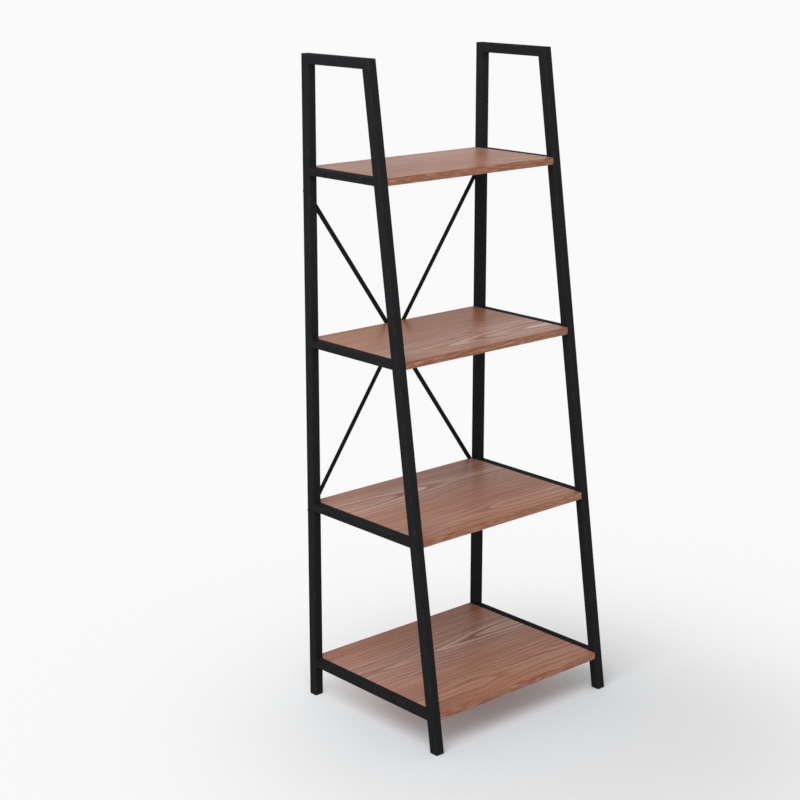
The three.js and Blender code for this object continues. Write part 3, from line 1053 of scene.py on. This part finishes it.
# The CAD nodes still in view are the rivet nuts and the nut at the crossing.
for node in frame["nodes"].values():
    if not node.hide_render:
        node.data.materials.clear()
        node.data.materials.append(zinc)

# ------------------------------------------------------------------ floor, light and camera

BACKGROUND = (0.955, 0.955, 0.955, 1.0)

FLOOR_DARK = grey(0.89, -0.006)
FLOOR_LIGHT = grey(0.91, -0.006)
FLOOR_RINGS = (0.6, 1.2, 2.4, 4.8, 12.0, 60.0)
FLOOR_SEGMENTS = 64

# Round the origin, under the shelf, the floor is tinted cool: painted shade that gives the shadow
# under the shelf its cool colour. It is full up to TINT_FULL and not there at all past TINT_END.
PAINTED_SHADE_TINT = (0.87, 0.925, 0.97, 1.0)
TINT_FULL = 0.16
TINT_END = 0.56

# The floor shows its own shading round a place a little in front of the shelf, and away from there it
# glows with the background's colour instead. The glow is painted light: far off it is the plain
# backdrop, and nearer the shelf it lightens the floor's shadows, by a 1 - SHADE_MOST share even at the
# centre.
SHADE_CENTRE = (-0.04, -0.32, 0.0)
SHADE_RADIUS = 0.66
SHADE_MOST = 0.97

# The room's light dims from WALL_TOP to CEILING_START, which are sines of the angle it comes from
# above the level.
WALL_LIGHT = 1.10
WALL_TOP = 0.1
CEILING_LIGHT = 0.25
CEILING_START = 0.85

KEY_AZIMUTH = -62
KEY_ELEVATION = 50
KEY_DISTANCE = 3.2
KEY_SIZE = 2.6
KEY_POWER = 74

VIEW_AZIMUTH = -41.69
VIEW_ELEVATION = 15.26
VIEW_DISTANCE = 3.644
VIEW_SIDEWAYS = -0.1223
VIEW_UP = -0.0279
LENS = 79.6


def floor_material():
    """Pale floor that fades into the background away from the shelf: it glows with the background's
    colour, which is painted light, and a little of the glow lightens its shadows even near the shelf.
    """
    graph = Graph("pale_floor")
    under = graph.add("ShaderNodeVectorMath", graph.place, operation="LENGTH").outputs["Value"]
    plain = graph.mix(graph.noise(3, 4), FLOOR_DARK, FLOOR_LIGHT)
    # Painted shade: a cool tint round the origin, where the shelf's shadow falls.
    colour = graph.mix(graph.span(under, TINT_FULL, TINT_END, smooth=True), PAINTED_SHADE_TINT, plain)
    graph.set(base_color=colour, roughness=0.9, specular_ior_level=0.0)

    from_centre = graph.add("ShaderNodeVectorMath", graph.place, SHADE_CENTRE, operation="DISTANCE")
    away = graph.math("DIVIDE", from_centre.outputs["Value"], SHADE_RADIUS)
    fall = graph.math("ADD", graph.math("POWER", away, 4.0), 1.0)
    # Painted light: the share of the floor that glows instead of showing its shading, from 1 -
    # SHADE_MOST at the centre up to all of it far away.
    painted_glow_share = graph.times_plus(graph.math("POWER", fall, -1.5), -SHADE_MOST, 1.0)
    painted_glow = graph.add("ShaderNodeEmission", BACKGROUND, 1.0)
    blend = graph.add("ShaderNodeMixShader", painted_glow_share, graph.surface.outputs[0], painted_glow.outputs[0])
    graph.tree.links.new(blend.outputs[0], graph.output.inputs[0])
    return graph.material


def floor():
    """A wide disc, finer near the shelf."""
    mesh_data = bmesh.new()
    previous = None
    for radius in FLOOR_RINGS:
        ring = []
        for i in range(FLOOR_SEGMENTS):
            angle = 2 * math.pi * i / FLOOR_SEGMENTS
            ring.append(mesh_data.verts.new((radius * math.cos(angle), radius * math.sin(angle), 0)))
        if previous is None:
            mesh_data.faces.new(ring)
        else:
            bridge(mesh_data, previous, ring)
        previous = ring
    plane = make_object(mesh_data, "floor", [floor_material()])


def world():
    """A pale room that is the plain background in the camera's own view."""
    made = bpy.data.worlds.new("studio")
    bpy.context.scene.world = made
    made.use_nodes = True
    nodes, links = made.node_tree.nodes, made.node_tree.links
    background = nodes["Background"]
    background.inputs["Color"].default_value = BACKGROUND
    separate = nodes.new("ShaderNodeSeparateXYZ")
    links.new(nodes.new("ShaderNodeTexCoord").outputs["Generated"], separate.inputs[0])
    room = nodes.new("ShaderNodeMapRange")
    room.interpolation_type = "SMOOTHSTEP"
    room.inputs["From Min"].default_value = WALL_TOP
    room.inputs["From Max"].default_value = CEILING_START
    room.inputs["To Min"].default_value = WALL_LIGHT
    room.inputs["To Max"].default_value = CEILING_LIGHT
    links.new(separate.outputs["Z"], room.inputs["Value"])
    strength = nodes.new("ShaderNodeMapRange")
    links.new(nodes.new("ShaderNodeLightPath").outputs["Is Camera Ray"], strength.inputs["Value"])
    links.new(room.outputs[0], strength.inputs["To Min"])
    links.new(strength.outputs[0], background.inputs["Strength"])


def direction(azimuth, elevation):
    azimuth, elevation = math.radians(azimuth), math.radians(elevation)
    level = math.cos(elevation)
    return Vector((math.sin(azimuth) * level, -math.cos(azimuth) * level, math.sin(elevation)))


def key_light():
    """A soft square lamp that faces the middle of the shelf."""
    lamp = bpy.data.lights.new("key", "AREA")
    lamp.shape = "SQUARE"
    lamp.size = KEY_SIZE
    lamp.energy = KEY_POWER
    made = bpy.data.objects.new("key", lamp)
    towards = direction(KEY_AZIMUTH, KEY_ELEVATION)
    made.location = SHELF_MIDDLE + towards * KEY_DISTANCE
    made.rotation_euler = (-towards).to_track_quat("-Z", "Y").to_euler()
    bpy.context.scene.collection.objects.link(made)


def camera():
    """The view from the front left, a little above the shelf."""
    data = bpy.data.cameras.new("camera")
    data.lens = LENS
    data.sensor_width = 36.0
    data.clip_end = 200.0
    made = bpy.data.objects.new("camera", data)
    back = direction(VIEW_AZIMUTH, VIEW_ELEVATION)
    right = Vector((0, 0, 1)).cross(back).normalized()
    up = back.cross(right)
    aim = SHELF_MIDDLE + VIEW_SIDEWAYS * right + VIEW_UP * up
    made.location = aim + VIEW_DISTANCE * back
    made.rotation_euler = back.to_track_quat("Z", "Y").to_euler()
    bpy.context.scene.collection.objects.link(made)
    bpy.context.scene.camera = made


floor()
world()
key_light()
camera()
bpy.context.scene.view_settings.view_transform = "Standard"
